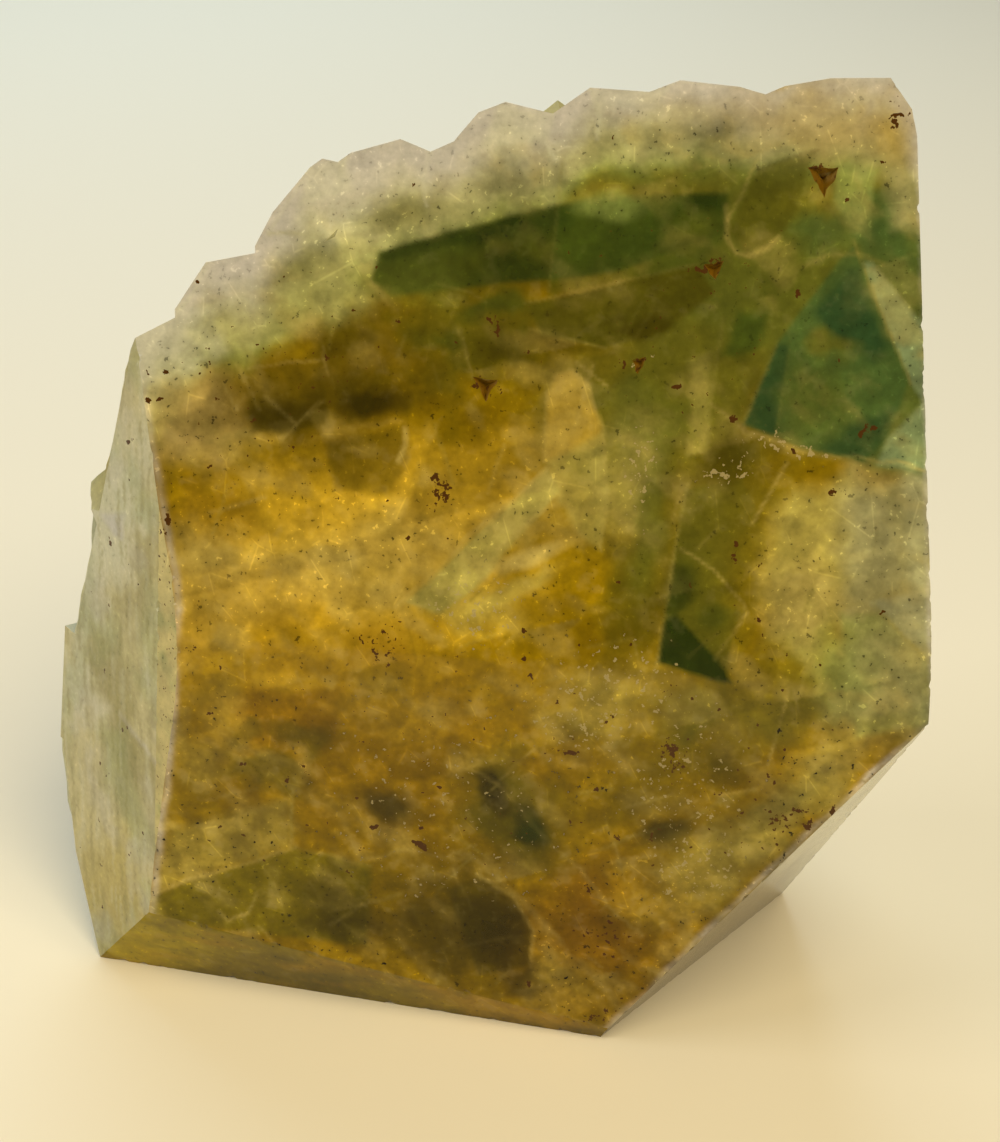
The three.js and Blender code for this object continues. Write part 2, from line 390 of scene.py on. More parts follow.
def wear(points, triangles, facets):
    """Rubs the ground edges down unevenly, gives the skin its fine relief and makes the pits ragged."""
    normals = surface_normals(points, triangles)
    count = len(points)
    ground = [touched(count, triangles[facets == name]) for name in np.unique(facets) if name not in NATURAL]
    skin = touched(count, triangles[facets == "skin"])
    edge = np.sum(ground, axis=0) > 1
    inner = skin & ~np.any(ground, axis=0)
    worn = points.copy()
    rub = smoothstep(0.1, 0.7, noise_field(points[edge], WEAR_SIZE, 3, WEAR_SEED))
    worn[edge] -= normals[edge] * (WEAR_DEPTH * rub)[:, None]
    relief = noise_field(points[inner], RELIEF_SIZE, 4, RELIEF_SEED)
    worn[inner] += normals[inner] * (RELIEF_DEPTH * relief)[:, None]
    places = photo_pixels(points)
    for pit in PIT_PLACES:
        near = (np.hypot(*(places - np.array(pit)).T) < 2 * PIT_REACH) & (points[:, 1] < PIT_BACK)
        fade = 1.0 - smoothstep(0.5, 1.8, np.hypot(*(places[near] - np.array(pit)).T) / PIT_REACH)
        for axis, seed in RAGGED_SEEDS.items():
            shift = RAGGED_DEPTH * fade * noise_field(points[near], RAGGED_SIZE, 3, seed)
            slope = FRONT_SLOPE[axis]
            worn[near, axis] += shift
            worn[near, 1] -= slope * shift
    return worn


# Painting.

def block_chance(block, seed):
    """A random number from 0 to 1 for each block between cleavage planes."""
    mixed = block @ BLOCK_MIXERS + seed * SEED_MIXER
    return ((mixed ^ (mixed >> 13)) * CHANCE_MIXER % CHANCE_COUNT) / CHANCE_COUNT


class Paint:
    """Colour and marks at some points of the stone, built up in layers."""

    def __init__(self, points, colour, seed, **marks):
        self.points = points
        self.place = photo_pixels(points)
        wander = [noise_field(points, WANDER_SIZE, 4, seed + step) for step in (0, 1)]
        self.wander = np.stack(wander, axis=1)
        self.colour = np.tile(linear(colour), (len(points), 1))
        starts = {**MARK_START, **marks}
        self.marks = {kind: np.full(len(points), start) for kind, start in starts.items()}

    def lay(self, colour, share):
        self.colour += (linear(colour) - self.colour) * np.clip(share, 0.0, 1.0)[:, None]

    def put(self, layers):
        for layer in layers:
            layer.put_on(self)

    def brightness(self, low):
        """How bright the paint is so far, from low in the dark to 1, so that light lines stay faint there."""
        return np.clip(self.colour.mean(axis=1) / FULL_BRIGHTNESS, low, 1.0)

    def distance(self, middle, size, turn, wander):
        """Distance from the middle of an ellipse, 1 on its edge."""
        offset = self.place + wander * self.wander - np.array(middle)
        cos, sin = math.cos(math.radians(turn)), math.sin(math.radians(turn))
        across = offset[:, 0] * cos + offset[:, 1] * sin
        down = offset[:, 1] * cos - offset[:, 0] * sin
        return np.hypot(across / size[0], down / size[1])

    def outside(self, corners, wander):
        """Distance outside a convex outline, in pixels; negative inside."""
        places = self.place + wander * self.wander
        corners = np.array(corners, dtype=float)
        following = np.roll(corners, -1, axis=0)
        spin = np.sign(np.sum(corners[:, 0] * following[:, 1] - corners[:, 1] * following[:, 0]))
        farthest = np.full(len(places), -np.inf)
        for start, end in zip(corners, following):
            along = (end - start) / np.linalg.norm(end - start)
            side = (places - start) @ np.array([along[1], -along[0]]) * spin
            farthest = np.maximum(farthest, side)
        return farthest

    def gap(self, route, wander):
        """Distance from a route of straight stretches, in pixels."""
        places = self.place + wander * self.wander
        nearest = np.full(len(places), np.inf)
        for start, end in zip(np.array(route[:-1], dtype=float), np.array(route[1:], dtype=float)):
            reach = end - start
            along = np.clip((places - start) @ reach / (reach @ reach), 0.0, 1.0)
            nearest = np.minimum(nearest, np.linalg.norm(places - start - along[:, None] * reach, axis=1))
        return nearest

    def mottle(self, size, octaves, seed, strength):
        """Uneven brightness all over."""
        self.colour *= np.exp(strength * noise_field(self.points, size, octaves, seed))[:, None]

    def haze(self, colour, size, seed, share, low=0.1, high=0.7):
        """Cloudy patches."""
        self.lay(colour, share * smoothstep(low, high, noise_field(self.points, size, 4, seed)))

    def blocks(self, size, shift):
        """Where points lie between cleavage planes: the block's number and the place in it."""
        steps = (self.points + shift) @ CLEAVAGE.T / size
        steps = steps + BLOCK_WANDER * self.wander[:, :1] + CLEAVAGE_START
        block = np.floor(steps).astype(int)
        return block, steps - block

    def shards(self, size, seed, strength):
        """Lighter and darker blocks between cleavage planes, each fading from one of its sides."""
        tone = np.zeros(len(self.points))
        for shift in SOFTENING:
            block, inside = self.blocks(size, shift)
            chance = block_chance(block, seed) - 0.5
            bold = np.where(np.abs(chance) > BOLD_CHANCE, chance, 0.0)
            tone += bold * (1.0 - smoothstep(0.0, 1.0, inside[:, 0]))
        self.colour *= np.exp(strength * self.brightness(0.4) * tone / len(SOFTENING))[:, None]

    def wisps(self, colour, size, block_size, seed, share):
        """Cloudy veils that break off at the cleavage planes."""
        amount = np.zeros(len(self.points))
        for shift in WISP_SOFTENING:
            block, _ = self.blocks(block_size, shift)
            jump = np.stack([block_chance(block, seed + axis) for axis in range(3)], axis=1)
            field = noise_field((self.points + WISP_JUMP * size * jump) @ WISP_GRAIN, size, 5, seed)
            amount += smoothstep(0.0, 0.7, field)
        self.lay(colour, share * self.brightness(0.1) * amount / len(WISP_SOFTENING))

    def sprinkle(self, count, middle, reach, sizes, seed):
        """Small specks of rust scattered round a place."""
        draw = np.random.default_rng(seed)
        for _ in range(count):
            spot = np.array(middle) + draw.uniform(-1.0, 1.0, 2) * np.array(reach)
            long, wide = draw.uniform(*sizes), draw.uniform(0.5, 1.0)
            Mark("rust", spot, (long, long * wide), draw.uniform(0.0, 180.0), SPECK_SHARE).put_on(self)


@dataclass
class Cloud:
    """A soft patch of colour: its middle, half lengths and turn in the photograph."""
    colour: str
    middle: tuple
    size: tuple
    turn: float = 0
    share: float = 0.6
    soft: float = 0.6
    wander: float = 22

    def put_on(self, paint):
        distance = paint.distance(self.middle, self.size, self.turn, self.wander)
        paint.lay(self.colour, self.share * (1.0 - smoothstep(1.0 - self.soft, 1.0 + self.soft, distance)))


@dataclass
class Pane:
    """A patch with straight edges; fade, a start and an end, thins it out between them."""
    colour: str
    corners: list
    share: float = 0.7
    soft: float = 4
    wander: float = 2
    fade: tuple = None

    def put_on(self, paint):
        inside = 1.0 - smoothstep(-self.soft, self.soft, paint.outside(self.corners, self.wander))
        if self.fade is not None:
            start, end = np.array(self.fade, dtype=float)
            reach = end - start
            along = (paint.place + self.wander * paint.wander - start) @ reach / (reach @ reach)
            inside = inside * (1.0 - smoothstep(0.0, 1.0, along))
        paint.lay(self.colour, self.share * inside)


@dataclass
class Crack:
    """A thin line along a route of points, broken up here and there."""
    colour: str
    route: list
    share: float = 0.5
    width: float = 1.8
    wander: float = 3

    def put_on(self, paint):
        broken = LINE_STRENGTH + LINE_BREAKS * paint.wander[:, 1]
        thin = np.exp(-((paint.gap(self.route, self.wander) / self.width) ** 2))
        paint.lay(self.colour, self.share * paint.brightness(0.35) * broken * thin)


@dataclass
class Mark:
    """Rust or pale grit, which the material breaks up into grains."""
    kind: str
    middle: tuple
    size: tuple
    turn: float = 0
    share: float = 0.9
    wander: float = 10

    def put_on(self, paint):
        distance = paint.distance(self.middle, self.size, self.turn, self.wander)
        amount = self.share * (1.0 - smoothstep(*MARK_EDGE, distance))
        paint.marks[self.kind] = np.maximum(paint.marks[self.kind], amount)


# What the front shows, zone by zone, placed in photo pixels.

MIDDLE = [
    Cloud("olive_green", (640, 400), (110, 80), -10, 0.85),
    Cloud("olive_green", (690, 470), (90, 150), share=0.7, soft=0.5),
    Cloud("gold", (330, 565), (215, 108), -10, 1.0, 0.4),
    Cloud("gold", (470, 478), (80, 36), -22),
    Cloud("russet", (382, 645), (40, 28), 20, 0.4),
    Cloud("straw", (205, 590), (44, 54)),
    Cloud("deep_gold", (250, 625), (105, 50)),
    Cloud("straw", (350, 560), (115, 40), -15, 0.4, 0.8),
    Cloud("brown", (215, 510), (48, 26), 10, 0.45, 0.8),
    Pane("amber", [(545, 462), (548, 395), (556, 374), (572, 370), (588, 386), (600, 425),
                   (603, 445)], 0.9),
    Pane("mist", [(548, 462), (603, 432), (609, 500), (600, 548), (578, 535), (556, 500)], 0.65, 5),
    Crack("straw", [(572, 368), (590, 390), (602, 432), (608, 500), (600, 548)], 0.35),
    Crack("straw", [(546, 395), (545, 462)], 0.25),
    Pane("mist", [(405, 602), (548, 468), (560, 490), (475, 590), (440, 614)], 0.95, 3),
    Pane("moss", [(492, 566), (530, 520), (562, 505), (578, 545), (560, 575), (510, 590)], 0.75, 7, 5),
    Cloud("straw", (530, 556), (34, 8), -18, 0.8, wander=4),
    Cloud("mist", (515, 590), (44, 10), -28, 0.5, wander=6),
    Cloud("mist", (470, 612), (48, 20), 20, 0.5, 0.8),
    Crack("straw", [(396, 606), (470, 536), (547, 469)], 0.55, 2.0),
    Crack("straw", [(496, 550), (530, 518), (552, 504)], 0.4, 1.6),
    Cloud("mist", (626, 478), (28, 56), soft=0.7),
    Cloud("olive", (634, 600), (32, 56), 6, 0.7),
    Cloud("green", (650, 520), (14, 70), 8, 0.5, wander=8),
]

LOWER_LEFT = [
    Cloud("brown", (380, 745), (190, 85), 5, 0.5),
    Pane("brown", [(229, 700), (258, 686), (342, 690), (338, 742), (250, 747)], 0.8, 7, 6),
    Cloud("olive", (305, 737), (32, 14)),
    Cloud("olive", (245, 735), (20, 10), 20, 0.5),
    Pane("gold", [(252, 671), (325, 674), (332, 688), (252, 686)], 0.6),
    Cloud("amber", (222, 712), (18, 22), share=0.5),
    Cloud("mist", (205, 760), (36, 26), share=0.3),
    Cloud("olive", (275, 776), (40, 16), 10),
    Pane("mist", [(154, 892), (172, 828), (290, 800), (292, 845)], 0.4, 8, 4),
    Pane("dark_moss", [(150, 896), (296, 846), (372, 868), (366, 946), (150, 920)], 0.9, wander=3),
    Cloud("dark_olive", (335, 905), (48, 26), 20, 0.7),
    Cloud("umber", (348, 932), (42, 15), 8, 0.55),
    Crack("straw", [(152, 893), (230, 868), (298, 846)], 0.45, 2.0),
    Crack("mist", [(294, 788), (292, 845)], 0.4),
    Crack("mist", [(298, 846), (372, 868)], 0.25, 1.6),
    Crack("straw", [(256, 893), (247, 914), (228, 921), (219, 912)]),
    Crack("straw", [(330, 925), (362, 904), (402, 892)], 0.45, 2.0),
    Crack("straw", [(316, 788), (340, 815), (366, 862)], 0.25, 5.0, 12),
    Crack("amber", [(150, 690), (235, 706), (250, 745)], 0.3, 5.0, 10),
]

LOWER_MIDDLE = [
    Cloud("dark_olive", (452, 925), (72, 48), 8, 0.8),
    Cloud("brown", (600, 930), (90, 75), 30, 0.85),
    Cloud("russet", (590, 920), (50, 44), 30),
    Cloud("olive", (512, 812), (58, 44), 35, 0.8),
    Pane("dark_olive", [(470, 782), (492, 774), (512, 800), (500, 822), (480, 812)], 0.7, 5, 12),
    Pane("dark_olive", [(514, 800), (540, 806), (552, 834), (536, 846), (512, 834)], 0.7, 5, 12),
    Pane("dark_olive", [(446, 890), (480, 877), (512, 896), (532, 930), (530, 964), (480, 978)]),
    Cloud("umber", (505, 930), (24, 36), -10, 0.45),
    Crack("straw", [(478, 876), (512, 895), (533, 930), (531, 966)], width=2.2),
    Cloud("umber", (540, 975), (32, 15), -15, 0.85, wander=12),
    Cloud("umber", (388, 803), (28, 14), 15, 0.85, wander=12),
    Cloud("umber", (490, 796), (18, 14), 30, 0.7, wander=14),
    Cloud("deep_green", (530, 824), (20, 15), 30, 0.8, wander=12),
    Cloud("umber", (668, 832), (30, 14), -14, 0.85, wander=8),
    Cloud("dark_olive", (700, 745), (22, 28), 20, 0.5),
    Cloud("dark_olive", (735, 765), (18, 22), 20, 0.5),
    Cloud("olive", (640, 790), (50, 24), -20, 0.4),
    Cloud("olive", (690, 715), (44, 26), -10, 0.5),
    Cloud("mist", (600, 700), (56, 30), -20, 0.45, 0.8),
    Cloud("amber", (562, 985), (26, 26), 40, 0.55, 0.8),
    Cloud("mist", (692, 880), (56, 30), -38, 0.4, 0.8),
    Cloud("mist", (760, 836), (60, 24), -38, soft=0.8),
    Cloud("mist", (815, 780), (50, 22), -38, soft=0.8),
    Cloud("gold", (640, 905), (30, 24), 30, 0.5, 0.8),
    Cloud("gold", (392, 715), (50, 24), 20, 0.5, 0.8),
    Crack("straw", [(450, 762), (513, 800), (560, 850), (640, 940)], 0.3, 2.4, 8),
    Crack("straw", [(452, 852), (500, 878), (560, 940)], 0.3, 2.4, 8),
    Crack("straw", [(370, 862), (420, 850), (470, 866)], 0.25, 2.6, 8),
    Crack("mist", [(600, 850), (690, 820), (752, 790)], 0.3, 2.2, 6),
    Crack("amber", [(545, 960), (572, 985), (600, 1005), (612, 1022)], 0.4, 4.0, 8),
]

RIGHT_MIDDLE = [
    Pane("mist", [(778, 505), (850, 470), (876, 560), (846, 612), (838, 655), (768, 640)], 0.8, 20, 16),
    Cloud("straw", (806, 600), (26, 22), soft=0.9),
    Cloud("straw", (806, 640), (10, 26), -10, 0.4, 0.9),
    Pane("khaki", [(850, 500), (932, 474), (934, 720), (880, 700), (842, 612)], 0.8, 14, 8),
    Pane("pale_khaki", [(905, 470), (940, 470), (940, 730), (915, 730)], 0.7, 12, 6),
    Pane("pale_khaki", [(870, 601), (934, 590), (934, 668)]),
    Pane("sage", [(842, 612), (882, 614), (930, 665), (928, 724), (856, 738)], 0.55, 5, 3),
    Cloud("green", (770, 690), (110, 44), -18, 0.4, 0.8),
    Cloud("olive_green", (805, 705), (75, 32), -22, 0.5),
    Cloud("khaki", (880, 682), (54, 48), -35, 0.85),
    Cloud("sage", (838, 668), (30, 44), -20, 0.5, 0.8),
    Cloud("pale_khaki", (876, 520), (40, 60), share=0.4, soft=0.8),
    Pane("olive_green", [(684, 490), (742, 478), (768, 540), (752, 640), (722, 684),
                         (658, 662)], 0.9, 3, fade=((672, 560), (800, 580))),
    Pane("bottle", [(682, 510), (712, 520), (740, 600), (724, 684),
                    (658, 662)], 0.8, 3, fade=((664, 640), (752, 570))),
    Cloud("deep_green", (679, 588), (14, 22), 10, 0.7, wander=4),
    Pane("deep_green", [(664, 622), (676, 614), (716, 656), (732, 684), (658, 662)], 0.95, 3, 1),
    Pane("olive_green", [(676, 614), (700, 598), (744, 612), (716, 656)], 0.6, 3, 1),
    Cloud("bottle", (714, 616), (14, 12), wander=4),
    Cloud("dark_olive", (728, 462), (24, 26), wander=10),
    Crack("mist", [(687, 484), (674, 552), (658, 662)], 0.6, wander=1),
    Crack("straw", [(680, 549), (713, 570), (742, 601), (747, 613), (715, 659)], 0.55, 1.6, 2),
    Crack("straw", [(787, 462), (752, 524)], 0.6, wander=1),
    Crack("mist", [(790, 478), (795, 500), (790, 524)], 0.4, 1.6, 1),
    Crack("mist", [(806, 596), (838, 580), (858, 574)], 0.4, 2.0),
    Crack("mist", [(838, 608), (872, 600), (882, 614), (930, 664)], 0.55, wander=1),
    Crack("mist", [(800, 640), (806, 664), (797, 696)], 0.45),
    Crack("straw", [(786, 690), (779, 722), (768, 765)], 0.45),
]

UPPER_LEFT = [
    Cloud("tan", (192, 418), (58, 44), share=0.85),
    Cloud("olive", (450, 345), (100, 52), -4, 0.9),
    Cloud("bronze", (312, 398), (100, 54), -6, 0.9),
    Cloud("moss", (462, 408), (62, 24), -20, 0.5),
    Pane("dark_olive", [(246, 368), (325, 360), (327, 428), (250, 436)], 0.75, 5, 5, ((262, 440),
                        (250, 345))),
    Cloud("umber", (272, 418), (30, 16), -5, wander=10),
    Cloud("dark_olive", (362, 395), (42, 30), soft=0.5),
    Cloud("umber", (370, 408), (32, 16), -8, 0.75, wander=10),
    Pane("dark_olive", [(325, 440), (400, 431), (408, 462), (390, 494), (335, 490)], 0.6, 6, 6),
    Cloud("dark_olive", (342, 345), (22, 16)),
    Cloud("bottle", (428, 345), (34, 15), -5),
    Cloud("dark_olive", (505, 355), (24, 10), share=0.5),
    Crack("straw", [(236, 364), (250, 388), (260, 410)], 0.35, 2.2, 2),
    Crack("straw", [(246, 368), (285, 363), (325, 360)], 0.3, 1.7),
    Crack("straw", [(324, 348), (328, 374)], 0.35),
    Crack("straw", [(404, 430), (405, 447), (398, 463)], 0.45, 2.4, 2),
    Crack("amber", [(300, 440), (350, 431), (396, 427)], 0.4, 3.0, 8),
    Crack("amber", [(372, 318), (388, 340), (400, 372)], 0.25, 4.0, 8),
    Cloud("pale_khaki", (165, 350), (46, 32), -15, 0.9, 0.5),
    Cloud("pale_khaki", (336, 222), (40, 30), share=0.8),
    Cloud("moss", (394, 362), (36, 28), share=0.5),
    Cloud("pale_green", (326, 278), (52, 38), share=0.8),
    Cloud("pale_green", (412, 214), (48, 18), -16, 0.7),
    Cloud("pale_green", (250, 322), (52, 16), -20),
]

DARK_PANE = [
    Pane("bottle", [(371, 280), (380, 248), (470, 226), (556, 202), (650, 194), (728, 194), (726, 236),
                    (716, 262), (697, 264), (526, 303), (500, 312), (437, 311), (404, 305)], 0.95),
    Cloud("green", (418, 288), (46, 18), 12),
    Pane("deep_green", [(380, 248), (470, 226), (520, 211), (520, 228), (470, 241), (384, 262)], 0.55),
    Cloud("deep_green", (505, 228), (50, 14), -14, 0.7),
    Cloud("deep_green", (520, 275), (60, 18), -10),
    Pane("dark_green", [(556, 206), (640, 200), (640, 276), (549, 297)], 0.5),
    Pane("dark_green", [(640, 198), (728, 196), (724, 240), (700, 263), (640, 277)], 0.5, 6),
    Cloud("sage", (608, 205), (32, 13), share=0.7, wander=10),
    Cloud("deep_green", (707, 206), (18, 12), wander=8),
    Cloud("olive_green", (690, 240), (26, 18), -20, 0.3),
    Cloud("bottle", (505, 312), (40, 14), -8, 0.8),
    Pane("olive", [(526, 304), (697, 265), (716, 292), (667, 331), (605, 347), (542, 335)], 0.95, 3, 1),
    Cloud("green", (650, 182), (70, 13), -4),
    Pane("dark_olive", [(532, 330), (600, 348), (580, 354), (548, 346)], 0.6),
    Pane("dark_olive", [(620, 330), (655, 312), (672, 328), (640, 344)], 0.6, 6),
    Crack("mist", [(563, 150), (552, 262), (549, 290)], 0.4, 1.6, 1),
    Crack("mist", [(526, 303), (697, 264)], 0.4, 1.6, 1),
    Crack("mist", [(530, 327), (565, 338), (604, 347)], 0.45, wander=2),
    Crack("mist", [(604, 347), (636, 336), (648, 318)], 0.3, 2.2),
    Crack("mist", [(437, 283), (470, 292), (487, 303)], 0.4, 1.4, 1),
    Pane("olive", [(728, 232), (757, 168), (815, 152), (790, 225), (765, 246), (745, 252)]),
    Crack("straw", [(726, 206), (726, 238), (736, 253), (750, 256), (768, 248), (780, 236)], 0.7, 2.6, 2),
    Crack("straw", [(757, 158), (744, 190), (726, 222)], 0.4, wander=2),
    Crack("umber", [(757, 170), (816, 150)], 0.5, 2.0, 2),
]

UPPER_RIGHT = [
    Cloud("green", (760, 270), (140, 110), share=0.9, soft=0.5),
    Pane("teal", [(850, 190), (935, 180), (935, 482), (860, 462)], 0.85, 10, 6),
    Cloud("olive_green", (695, 375), (44, 60), share=0.8),
    Cloud("green", (640, 425), (40, 40), share=0.5),
    Pane("teal", [(858, 204), (898, 204), (904, 262), (880, 256), (858, 240)], 0.7, 8, 5),
    Pane("khaki", [(880, 150), (934, 150), (934, 236), (896, 226)], 0.9, 12, 8),
    Pane("mint_green", [(838, 160), (876, 172), (872, 205), (856, 236), (834, 200)], 0.6, 5),
    Cloud("teal", (826, 232), (26, 22)),
    Pane("dark_green", [(738, 312), (768, 312), (756, 352), (740, 362), (724, 356)], 0.7, 6, 3),
    Pane("olive_green", [(716, 362), (764, 348), (740, 420), (712, 404)], 0.6, 5, 3),
    Pane("mist", [(690, 360), (712, 352), (706, 450), (688, 456)], 0.4, 6, 4),
    Pane("teal", [(744, 424), (778, 342), (838, 262), (853, 246), (908, 382), (886, 440), (864, 462),
                  (800, 448)], 0.95, 3, 1),
    Pane("deep_teal", [(814, 312), (846, 268), (858, 268), (890, 345), (874, 362), (826, 330)], 0.85, 8, 4),
    Pane("deep_teal", [(744, 424), (778, 342), (790, 346), (774, 438)], 0.7, 3, 1),
    Pane("deep_teal", [(790, 447), (850, 424), (906, 384), (886, 440), (864, 462)], 0.7, 8, 4),
    Cloud("olive_green", (842, 346), (30, 12), 12, 0.7),
    Cloud("green", (812, 394), (24, 34), soft=0.8),
    Pane("pale_teal", [(854, 240), (872, 262), (926, 258), (928, 408), (910, 382)], 0.85, 3, 1),
    Pane("pale_teal", [(910, 388), (930, 402), (930, 474), (866, 462), (888, 440)], 0.75),
    Crack("mist", [(805, 266), (826, 256), (855, 254), (884, 264)], 0.6, 2.4, 2),
    Crack("mist", [(852, 240), (880, 310), (911, 384)], wander=1),
    Crack("mist", [(778, 342), (744, 424)], 0.45, wander=1),
    Crack("mist", [(790, 346), (776, 436)], 0.25, 1.4, 1),
    Crack("straw", [(711, 402), (747, 431), (772, 443), (838, 456), (897, 462), (928, 474)], 0.5, 2.0, 6),
    Crack("mist", [(724, 318), (711, 402), (700, 450)], 0.35, 2.0),
    Crack("umber", [(711, 402), (735, 420), (748, 432)]),
]

# The rubbed, frosted edges of the front.
GROUND_EDGES = [
    Crack("crust", [(135, 340), (150, 440), (172, 560), (178, 610)], width=4.0),
    Crack("crust", [(178, 610), (170, 740), (152, 915)], 0.6, 4.0),
    Crack("straw", [(152, 918), (340, 968), (606, 1030)], 0.45, 3.0),
    Crack("crust", [(932, 722), (800, 842), (606, 1030)], 0.6, 3.5),
    Crack("crust", [(918, 130), (926, 400), (932, 722)], width=3.0),
]

# Light and brown tints in the crust, and the edges of crystals in it.
CRYSTAL_EDGES = [
    [(345, 158), (332, 200), (330, 233)],
    [(310, 168), (286, 205), (268, 234)],
    [(430, 150), (424, 176), (430, 205)],
    [(205, 262), (196, 290), (180, 312)],
    [(553, 113), (546, 140), (556, 160)],
]
CRUST_TINTS = [Crack("milk", route, width=2.4) for route in CRYSTAL_EDGES] + [
    Crack("mint", [(268, 234), (330, 233), (378, 238)], width=2.4),
    Crack("milk", [(590, 90), (600, 112), (596, 140)], 0.4, 2.4),
    Pane("milk", [(310, 168), (345, 158), (352, 190), (300, 205)], 0.5, 5),
    Pane("milk", [(500, 104), (550, 114), (545, 140), (480, 150)], 0.5, 5),
    Pane("milk", [(592, 90), (670, 86), (660, 106), (600, 112)], 0.4, 5),
    Cloud("milk", (158, 345), (40, 26), -15, soft=0.8),
    Cloud("tan", (845, 122), (70, 34), share=0.75, soft=0.8),
    Cloud("amber", (890, 130), (24, 34), share=0.5, soft=0.8),
    Cloud("tan", (720, 118), (60, 20), share=0.3, soft=0.8),
    Cloud("amber", (772, 90), (22, 6), -8, 0.5, 0.8),
]

# Rust and pale grit on the front: place, half lengths, turn and share.
RUST_PATCHES = [
    ((440, 488), (22, 22), 0, 1.0), ((485, 385), (15, 16)), ((382, 642), (48, 34), 20, 0.72),
    ((710, 266), (26, 9), -5, 1.0), ((632, 366), (22, 7), -10), ((826, 176), (16, 20), 0, 0.8),
    ((897, 118), (20, 28), 0, 0.85), ((498, 328), (12, 16)), ((676, 755), (22, 34), 10, 0.85),
    ((668, 692), (9, 16), 20), ((600, 1018), (28, 9), -20), ((600, 935), (40, 30), 20, 0.6),
    ((200, 648), (14, 9)), ((165, 525), (9, 30)), ((790, 820), (50, 14), -38, 0.7),
    ((738, 548), (7, 14)), ((840, 494), (24, 7), 8), ((420, 842), (10, 7), 20, 1.0),
    ((620, 838), (9, 9)), ((575, 757), (22, 7), 0, 0.8), ((260, 390), (150, 120), -15, 0.22),
    ((420, 760), (300, 200), 20, 0.16), ((760, 800), (120, 90), -38, 0.24),
    ((640, 330), (260, 180), 0, 0.16),
]
GRIT_PATCHES = [
    ((730, 468), (38, 24), -10, 1.0), ((790, 447), (60, 12), 10, 1.0), ((642, 362), (18, 10), -30, 1.0),
    ((600, 700), (100, 70), -20, 0.7), ((690, 790), (80, 110), 10, 0.6),
    ((475, 606), (60, 50), 20, 0.7), ((690, 870), (60, 50), 0, 0.7), ((636, 480), (24, 70), 5, 0.7),
    ((440, 800), (160, 120), 20, 0.35),
]

# The larger dark spots on the front: place, half lengths and turn.
DARK_SPOTS = [
    ((420, 842), (12, 7), 25), ((378, 823), (7, 4)), ((500, 332), (4, 10), 20), ((740, 543), (6, 7)),
    ((737, 556), (7, 6)), ((762, 565), (6, 3)), ((829, 490), (6, 4), 20), ((845, 495), (4, 7), 10),
    ((862, 428), (4, 8), 10), ((871, 428), (6, 4)), ((797, 297), (4, 6)), ((674, 381), (9, 4), 30),
    ((733, 418), (6, 6)), ((814, 824), (8, 6), -30), ((757, 617), (5, 7)), ((278, 270), (5, 3)),
    ((522, 632), (5, 5)), ((168, 372), (5, 4)), ((205, 366), (6, 4)), ((186, 435), (4, 4)),
]

# Small dark specks: how many, round which place, how far, how big, and a seed.
LEFT_SPECKS = (60, (125, 650), (50, 260), (1.5, 3.5), 36)
SPECKS = [
    (70, (520, 560), (400, 460), (2.0, 4.5), 91),
    (40, (260, 380), (130, 120), (2.0, 4.0), 92),
    (50, (680, 720), (160, 160), (2.0, 5.0), 93),
    (20, (260, 830), (110, 70), (2.5, 4.5), 94),
]

# Shades of the left facet, whose pale paint is partly its own colour and partly a painted reflection of the
# pale surroundings, and of the chamfer below the front, with painted shade along its foot.
LEFT_SHADES = [
    Cloud("milk", (105, 510), (36, 80), 10, 0.8),
    Cloud("milk", (78, 650), (18, 70)),
    Cloud("clay", (112, 705), (18, 70)),
    Cloud("clay", (148, 560), (14, 60), 10, 0.5),
    Pane("clay", [(119, 713), (160, 767), (150, 880), (116, 800)], 0.5, fade=((140, 740),
                        (120, 900))),
    Cloud("wheat", (112, 900), (40, 70), share=0.7),
    Crack("crust", [(119, 713), (140, 742), (160, 767)], width=2.2),
    Pane("crust", [(100, 514), (126, 512), (122, 540), (112, 534)], 0.8, 3),
]

CHAMFER_SHADES = [
    Cloud("bright_olive", (140, 945), (60, 26), 10, 0.9),
    Cloud("wet_gold", (530, 1012), (90, 20), 12, 0.8),
    Cloud("dark_olive", (310, 985), (90, 16), 12, 0.4),
    Crack("wet_gold", [(310, 962), (420, 985), (560, 1016)], 0.6, 6),
    # Painted shade: the umber line along the chamfer's foot, where the stone meets the floor.
    Crack("umber", [(105, 966), (340, 1004), (600, 1038)], 0.6, 6),
]


def rim_bands(paint):
    """The pale green under the crust along the top; returns how far each point is in the crust."""
    across = paint.place[:, 0]
    below = paint.place[:, 1] - np.interp(across, RIM_LINE[:, 0], RIM_LINE[:, 1])
    below = below + RIM_WANDER * paint.wander[:, 0]
    below = below / np.interp(across, CRUST_DEPTH[:, 0], CRUST_DEPTH[:, 1])
    paint.lay("sage", 0.85 * (1.0 - smoothstep(*SAGE_BAND, below)))
    paint.lay("mint", 0.9 * (1.0 - smoothstep(*MINT_BAND, below)))
    return 0.9 * (1.0 - smoothstep(*CRUST_BAND, below))


def fine_cracks(paint):
    """Short straight cracks, scattered along the directions in which the crystal splits."""
    draw = np.random.default_rng(CRACK_SEED)
    for _ in range(CRACK_COUNT):
        start = draw.uniform(*CRACK_AREA)
        angle = math.radians(draw.choice(CRACK_ANGLES) + draw.normal(0.0, CRACK_STRAY))
        end = start + draw.uniform(*CRACK_LENGTHS) * np.array((math.cos(angle), math.sin(angle)))
        colour = draw.choice(("straw", "mist", "olive"))
        width, share = draw.uniform(*CRACK_WIDTHS), draw.uniform(*CRACK_SHARES)
        Crack(colour, [start, end], share, width, 2).put_on(paint)


